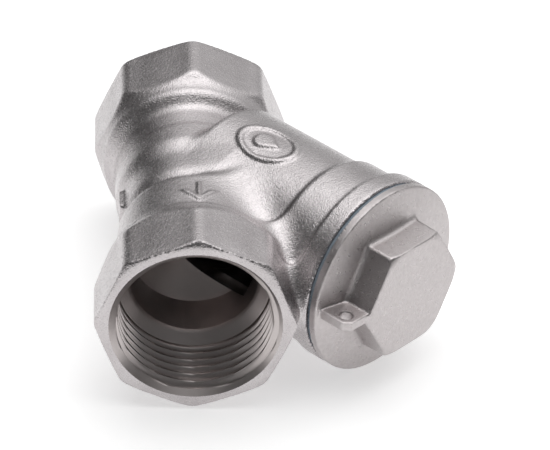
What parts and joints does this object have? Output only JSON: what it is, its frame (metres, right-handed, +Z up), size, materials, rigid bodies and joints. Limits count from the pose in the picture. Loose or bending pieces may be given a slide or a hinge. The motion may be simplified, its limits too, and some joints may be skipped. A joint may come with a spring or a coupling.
{
  "type": "y strainer",
  "caption": "Threaded Y strainer for pipework: octagonal female ends, angled branch, screw cap with seal lug, flat gasket and a removable screen.",
  "frame": {"origin": "centre of the outlet port's end face, on the pipe axis", "axes": "+Y along the pipe from outlet to inlet, +Z up with the part lying on its side, the branch in the XY plane leaning towards +X and the outlet"},
  "size_m": [0.0724, 0.0738, 0.04],
  "materials": {
    "plated_casting": "shot-blasted cast brass with satin nickel plating",
    "plated_cap": "forged brass with satin nickel plating",
    "gasket_fibre": "matt blue-grey compressed fibre sheet",
    "stainless_sheet": "perforated stainless sheet",
    "stainless_mesh": "woven stainless wire mesh",
    "ring_brass": "turned brass"
  },
  "bodies": {
    "housing": {"body": "plated_casting"},
    "screen": {"screen_sleeve": "stainless_sheet", "screen_mesh": "stainless_mesh", "screen_seat_ring": "ring_brass", "screen_cap_ring": "ring_brass"},
    "seal": {"cap_gasket": "gasket_fibre"},
    "cap": {"cap": "plated_cap"}
  },
  "joints": [
    {"name": "screen_withdrawal", "type": "slide", "parent": "housing", "child": "screen", "axis": [0.7071, -0.7071, 0], "range_m": [0, 0.045]},
    {"name": "cap_advance", "type": "slide", "parent": "screen", "child": "seal", "axis": [0.7071, -0.7071, 0], "range_m": [0, 0.0105]},
    {"name": "cap_unscrew", "type": "hinge", "parent": "seal", "child": "cap", "pos_m": [0, 0.0549, 0], "axis": [0.7071, -0.7071, 0], "range_deg": [0, 2520]}
  ],
  "couplings": [
    {"joint": "cap_advance", "follows": "cap_unscrew", "m_per_rad": 0.00023873}
  ]
}
